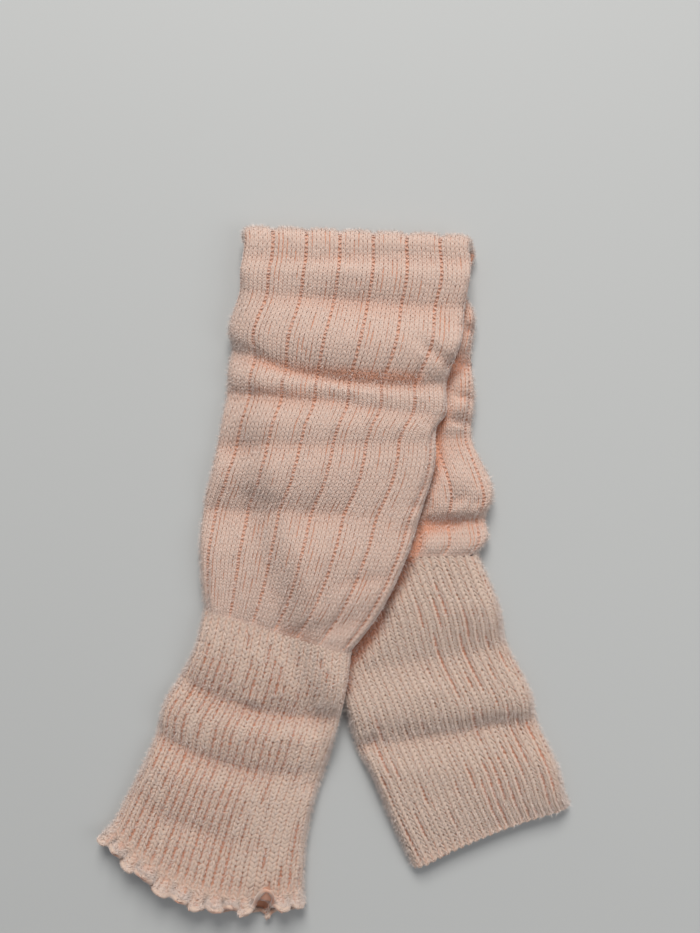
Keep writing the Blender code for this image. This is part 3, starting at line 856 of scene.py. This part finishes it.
on_ladder = np.arange(2 * PANELS * WALES) % (2 * WALES) == 0
leg_depths = np.where(on_ladder, LADDER_DEPTH, SHELL_DEPTH)
leg_drops = np.where(on_ladder, LADDER_DROP, SHELL_DROP)
leg_shell = shell("leg_ground", leg_surface, len(leg_drops), PANELS * WALES, leg_drops, leg_depths, knit)
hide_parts("leg")
leg_surface.round * MM
leg_surface.courses * COURSE * MM


# ============================================================ the two cuffs
# Narrow rib, 44 ribs round: one plain wale stands up, and the purl wale beside it sinks
# into a groove. Both are knitted on to the leg, and the far one ends in a plain bound hem.
RIBS = 44
RIB_RAISE = 0.7
RIB_COLUMNS = 6  # places worked out for each rib
RIB_DROP = 1.0  # the ground lies deeper than the leg's, so the grooves are dark
RIB_YARN = 0.57
RIB_GAP = 0.86  # how far open a groove gets
RIB_WAVES = (13, 28, 55)  # grooves open and shut over so many courses
RIB_FILL = 0.56  # how far the stitches rise beside a shut groove
SHUT_COURSES = 6  # grooves start up to this far from the leg
OPEN_NEAR_HEM = 0.45
# place from the left side (-1) to the right (1), and how ready the grooves are to open there
FRONT_OPEN = ((-1, 0.74), (0.1, 0.8), (0.6, 0.02), (1, 0))
BACK_OPEN = ((-1, 0.08), (-0.7, -0.08), (-0.4, -0.56), (0, -0.44), (0.2, 0.34), (1, 0.12))
FRILL_OPEN = ((-1, -0.1), (1, -0.6))
HEM_BOW = -2.8  # the plain hem draws in at its middle
RIB_PATH = np.array(((0.04, -0.22, -0.5), (0.17, 0.2, 0.05), (0.36, 0.72, 0.05), (0.5, 1.14, -0.42)))


def back_cuff_line(table, i, s):
    """A line of the far cuff, which bows near its hem."""
    near_hem = smooth(0.6 * (i + s - len(table) + 1) + 1.0)
    return back_line(table, i, s)._replace(bow=HEM_BOW * float(near_hem))


def rib_raise(shares):
    """How far the ribs stand up round the tube."""
    return RIB_RAISE * (1 - np.abs(np.sin(np.pi * RIBS * shares)) ** 1.6)


PURL_PATH = np.array((-0.16, 0.0, 0.16))
PURL_PROFILE = np.array(((-0.26, -0.3), (0, 0), (0.26, -0.3)))


def rib_stitches(name, surface, apex, open_table, deep_from, seed, shut_at_leg=1.0):
    """The raised wale of each rib and the sunken purl bumps between, where they show."""
    rng = np.random.default_rng(seed)
    rib, course = shown_cells(surface, RIBS, np.arange(surface.courses + 1))
    across = surface.read(surface.across, rib / RIBS, course + 0.5)
    opened = np.interp(across, *zip(*open_table)) + OPEN_NEAR_HEM * course / surface.courses
    starts = np.random.default_rng(seed + 60).uniform(-1.0, SHUT_COURSES, RIBS + 1)
    starts[-1] = starts[0]
    gaps = []
    for groove in (rib, rib + 1):
        ready = uneven(seed, groove, course, RIB_WAVES) + opened
        ready = ready - 1.2 * shut_at_leg * (1 - smooth((course - starts[groove]) / 3.0))
        gaps.append(RIB_GAP * smooth(ready / 0.9))
    first = course - 0.4
    sets = [stitches(surface, rng, rib / RIBS, 1.0 / RIBS, first, apex, gaps, RIB_YARN, 1.0, RIB_PATH,
                     deep_from, RIB_FILL)]
    runs = first[:, None] + np.zeros(len(PURL_PATH))
    sets.append(cross_loops(surface, rng, (rib + 0.5) / RIBS, 1.0 / RIBS, runs, PURL_PATH, PURL_PROFILE,
                            -0.62 - 4.0 * PURL_PATH**2, 0.78 - PURL_PROFILE[:, 1], (0.08, 0.12)))
    piece = joined_mesh(name, *gathered(sets), rib_knit)
    return piece


EDGE_SIDES = 8  # faces round a bound-off edge


def edge_cord(name, surface, thickness, lumps, set_in):
    """A bound-off edge: a thick lumpy cord round the whole hem."""
    count = 8 * lumps
    around = np.arange(count) / count
    along = np.full(count, float(surface.courses))
    path = surface.at(around, along, np.full(count, -set_in))
    for _ in range(22):
        path = 0.25 * (np.roll(path, 1, 0) + 2 * path + np.roll(path, -1, 0))
    forward = np.roll(path, -1, 0) - np.roll(path, 1, 0)
    forward /= np.linalg.norm(forward, axis=1, keepdims=True)
    up = surface.read(surface.normals, around, along)
    out = np.cross(forward, up)
    out /= np.linalg.norm(out, axis=1, keepdims=True)
    up = np.cross(out, forward)
    turn = np.arange(EDGE_SIDES) * 2 * np.pi / EDGE_SIDES
    lump = 1 + 0.15 * np.cos(2 * np.pi * lumps * around[:, None] + 0.8 * np.sin(turn))
    swell = 0.1 * np.sin(2 * np.pi * 17 * around) + 0.09 * np.sin(2 * np.pi * 41 * around)
    lump = lump * (1 + swell)[:, None]
    spoke = np.cos(turn)[:, None] * out[:, None] + np.sin(turn)[:, None] * up[:, None]
    points = path[:, None] + (thickness * lump)[:, :, None] * spoke
    points[..., 2] = np.maximum(points[..., 2], 0.05)
    cell = np.arange(count * EDGE_SIDES).reshape(count, EDGE_SIDES)
    following = np.roll(cell, -1, 0)
    corners = (cell, np.roll(cell, -1, 1), np.roll(following, -1, 1), following)
    faces = np.stack([corner.ravel() for corner in corners], 1)
    # Painted shade: the cord's underside and the dips between its lumps get a deeper colour.
    depth = np.clip(0.16 - 0.4 * np.sin(turn) - 1.6 * (lump - 1.0), 0, 1)
    piece = joined_mesh(name, points.reshape(-1, 3), faces, depth.ravel(), rib_knit)
    bm = bmesh.new()
    bm.from_mesh(piece.data)
    bmesh.ops.recalc_face_normals(bm, faces=bm.faces[:])
    bm.to_mesh(piece.data)
    bm.free()
    return piece


cuff_surfaces = {}
cuff_shares = np.arange(RIBS * RIB_COLUMNS) / (RIBS * RIB_COLUMNS)
for cuff_name, cuff_table, line_maker, reach, apex, open_table, deep_from, seed in (
    ("front_cuff", FRONT_CUFF, front_line, 0.6, -1, FRONT_OPEN, 0.28, 11),
    ("back_cuff", BACK_CUFF, back_cuff_line, 0.4, 1, BACK_OPEN, 0.46, 12),
):
    cuff_lines = lines_of(cuff_table, line_maker)
    cuff_rings = [ring(line, laid(line, cuff_shares), joined_raise(rib_raise(cuff_shares), row / ROWS))
                  for row, line in enumerate(cuff_lines)]
    surface = Surface(cuff_lines, cuff_rings, reach)
    cuff_surfaces[cuff_name] = surface
    cuff_pieces = [rib_stitches(cuff_name + "_stitches", surface, apex, open_table, deep_from, seed)]
    if cuff_name == "back_cuff":
        # bound off plain, with one small lump to each stitch
        cuff_pieces.append(edge_cord("back_cuff_cord", surface, 0.8, RIBS, 1.2))
    cuff_shell = shell(cuff_name + "_ground", surface, len(cuff_shares), 2 * RIBS, RIB_DROP, 1.0, rib_knit)
    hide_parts(cuff_name)
    surface.round * MM
    surface.courses * COURSE * MM


# ============================================================ the frilled hem
# The last courses are knitted with many extra loops, so the edge waves up and down and
# curls, and it ends in a thick bound-off cord. One wave stands up as an arch.
FRILL = (
    (-118.6, -136.5, -19, -168.5, 7.4, 7.6, 7.4, 16, 0),
    (-125, -142.6, -18, -177, 7.4, 7.8, 7.4, 18, 0),  # hem
)
# place across the hem from left to right, rise of the wave, how far it draws back from the
# hem line, lean to the right, and how far its edge curls over
LOBES = (
    (0.015, 5, -1, -0.8, 1.4),
    (0.075, 6.8, 0.9, 1.8, 2.6),
    (0.155, 3.8, -0.6, 0.6, 0.6),
    (0.235, 7.8, 1.6, 2.6, 3.2),
    (0.345, 3.8, -0.9, 0.2, 0.8),
    (0.44, 6.8, 0.8, 2.2, 2.6),
    (0.52, 3.8, -0.8, -0.8, 0.6),
    (0.605, 7, 0.7, 2, 2.6),
    (0.695, 5.4, 5.5, -0.8, 0.2),  # a lower arch
    (0.745, 3.8, -1, -0.4, 0.8),
    (0.825, 7.8, 16.5, -0.4, 0),  # the arch
    (0.915, 5.4, 0.2, 1.2, 1.8),
    (0.98, 3.8, 3.2, 0.2, 0.8),
)
# reach and lift of each wave of the layer beneath, right to left
UNDER_LOBES = (
    (1.9, 3.2), (3.4, 5.8), (1.7, 3), (0.6, 1.8), (2.3, 2.4),
    (1.6, 1.8), (0.2, 1.8), (0.9, 1.8), (0.3, 1.8), (0.6, 1.8),
)
FRILL_SWAY = 0.23  # how far a wave's sides bulge over, as a share of its width
VALLEY = 0.35  # how deep the waves' valleys are, beside their crests
VALLEY_IN = 3.2  # how far the valleys draw in
CRINKLE = 0.8  # small waves along the edge
CRINKLES = 53
FRILL_COLUMNS = 10 * RIBS
FRILL_COURSES = 5
ACROSS_TO_SHARE = 2.1  # widths of the laid hem in one half round, about
EDGE_CORD = 1.2  # half the cord's thickness

lobes = [((place - 0.5) / ACROSS_TO_SHARE, *rest) for place, *rest in LOBES]
under_places = np.linspace(lobes[-1][0], lobes[0][0] + 1.0, len(UNDER_LOBES) + 2)[1:-1]
lobes += [(place, lift, -reach, 0.0, 0.0) for place, (reach, lift) in zip(under_places, UNDER_LOBES)]
lobes.append((lobes[0][0] + 1.0, *lobes[0][1:]))
crests, rises, draws, leanings, curls = np.array(lobes).T
lobe_widths = np.diff(crests)


def frill_ring(line, grown, shares):
    """Points round the frill and how far across they are, its waves grown from 0 to 1."""
    x, z, nx, nz = read_round(shares, outline(line))
    half = 0.5 * math.dist(line.left, line.right)
    turned = np.mod(shares - crests[0], 1.0) + crests[0]
    phase = 2 * np.pi * np.interp(turned, crests, np.arange(len(crests)))
    size = grown ** 1.35
    crest = 0.5 * (1 + np.cos(phase))
    upper = smooth((nz + RIB_FADE) / RIB_FADE)
    level = 1 - np.abs(nx)
    wave = crest - VALLEY * (1 - crest)
    rise = size * np.interp(turned, crests, rises) * wave * upper * level
    broad_crest = crest ** 0.7
    lift = size * np.interp(turned, crests, rises) * crest * (1 - upper) * level
    curl = smooth((grown - 0.4) / 0.6) * crest * np.interp(turned, crests, curls) * upper
    back = np.interp(turned, crests, draws)
    reach = size * (-VALLEY_IN * (1 - crest) * upper - back * broad_crest) - 0.3 * rise
    small = CRINKLE * size * grown * np.sin(2 * np.pi * CRINKLES * shares + 2 * np.sin(phase))
    ends = np.maximum(1 - (x / half) ** 2, 0.2)
    line = line._replace(bow=line.bow + (reach - curl) / ends)
    lobe = np.clip(np.searchsorted(crests, turned, "right") - 1, 0, len(lobe_widths) - 1)
    bulge = FRILL_SWAY * lobe_widths[lobe] * frill_round * np.sin(phase)
    sway = size * (bulge + np.interp(turned, crests, leanings) * crest) * level
    ribs = rib_raise(shares) * upper * (1 - 0.5 * size)
    out = rise + ribs + 0.6 * curl + small * level * upper
    lean = LEAN * (1 - grown)
    return place(line, x + nx * out + sway, np.maximum(z + nz * out + lift, 0.0), lean), x / half


frill_round = 2 * math.dist(FRILL[1][:2], FRILL[1][2:4])
frill_grown = np.linspace(0.0, 1.0, FRILL_COURSES * ROWS + 1)
frill_lines = [front_line(FRILL, 0, grown) for grown in frill_grown]
frill_shares = np.arange(FRILL_COLUMNS) / FRILL_COLUMNS
frill_rings = [frill_ring(line, grown, frill_shares) for line, grown in zip(frill_lines, frill_grown)]
frill_surface = Surface(frill_lines, frill_rings, 0.15)
frill_stitches = rib_stitches("frill_stitches", frill_surface, -1, FRILL_OPEN, 0.34, 13, 0.0)
# Between its layers the frill's ground is painted with warm glow, painted bounced light.
frill_shell = shell("frill_ground", frill_surface, FRILL_COLUMNS, 2 * RIBS, SHELL_DROP, 0.6, rib_knit, 1.8)
frill_cord = edge_cord("frill_cord", frill_surface, EDGE_CORD, 2 * RIBS, 0.6)
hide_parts("frill_hem")
frill_surface.round * MM


# ============================================================ the fuzz
# Brushed yarn sheds fine curved hairs all over, so every edge of the knit has a soft halo.
HAIR_WIDTH = 0.14
HAIR_LENGTH = (1.1, 4.4)
HAIRS_ON_TOP = 0.09  # hairs kept where the cloth faces up, as a share of those at its sides
HAIRS = (("leg", leg_surface, 44000, 21), ("front_cuff", cuff_surfaces["front_cuff"], 24000, 22),
         ("back_cuff", cuff_surfaces["back_cuff"], 25000, 23), ("frill", frill_surface, 10000, 24))


def fuzz(name, surface, count, seed):
    """Flat tapering hairs that stand and curl off the surface, where it shows."""
    rng = np.random.default_rng(seed)
    around = rng.random(12 * count)
    along = rng.random(12 * count) * surface.courses
    beside = smooth(1.25 * (1 - np.abs(surface.read(surface.normals, around, along)[:, 2])))
    kept = rng.random(len(around)) < HAIRS_ON_TOP + (1 - HAIRS_ON_TOP) * beside
    kept = kept & surface.shows(around, along) & (surface.read(surface.tucked, around, along) < 0.25)
    around = around[kept][:count]
    along = along[kept][:count]
    root = surface.at(around, along, np.full(len(around), -0.15))
    normal = surface.read(surface.normals, around, along)
    normal /= np.linalg.norm(normal, axis=1, keepdims=True)
    lean = rng.normal(0.0, 1.0, (len(around), 3))
    lean -= (lean * normal).sum(1, keepdims=True) * normal
    lean /= np.linalg.norm(lean, axis=1, keepdims=True)
    length = rng.uniform(*HAIR_LENGTH, (len(around), 1)) * rng.uniform(0.5, 1.0, (len(around), 1))
    stand = rng.uniform(0.25, 0.95, (len(around), 1))
    first = root + length * 0.5 * (normal * stand + lean * 0.5)
    tip = root + length * (normal * stand * 0.75 + lean * (1.15 - 0.5 * stand))
    side = np.cross(lean, normal) * HAIR_WIDTH * 0.5
    points = np.stack([root - side, root + side, first + side * 0.8, first - side * 0.8, tip], 1)
    points[..., 2] = np.maximum(points[..., 2], 0.03)
    start = 5 * np.arange(len(root))[:, None]
    faces = np.concatenate([start + np.array(corners) for corners in ((0, 1, 2), (0, 2, 3), (3, 2, 4))])
    depth = np.zeros(points.shape[0] * 5)
    return joined_mesh(name + "_fuzz", points.reshape(-1, 3), faces, depth, fuzz_yarn)


# The hairs are coloured paler than the yarn: partly the lighter look of thin single fibres, partly a
# painted highlight on the knit's edges.
fuzz_yarn = knit_material("fuzz_yarn", (0.78, 0.665, 0.6), GAP_SHADE_COLOUR)
for fuzz_name, surface, count, seed in HAIRS:
    hairs = fuzz(fuzz_name, surface, count, seed)
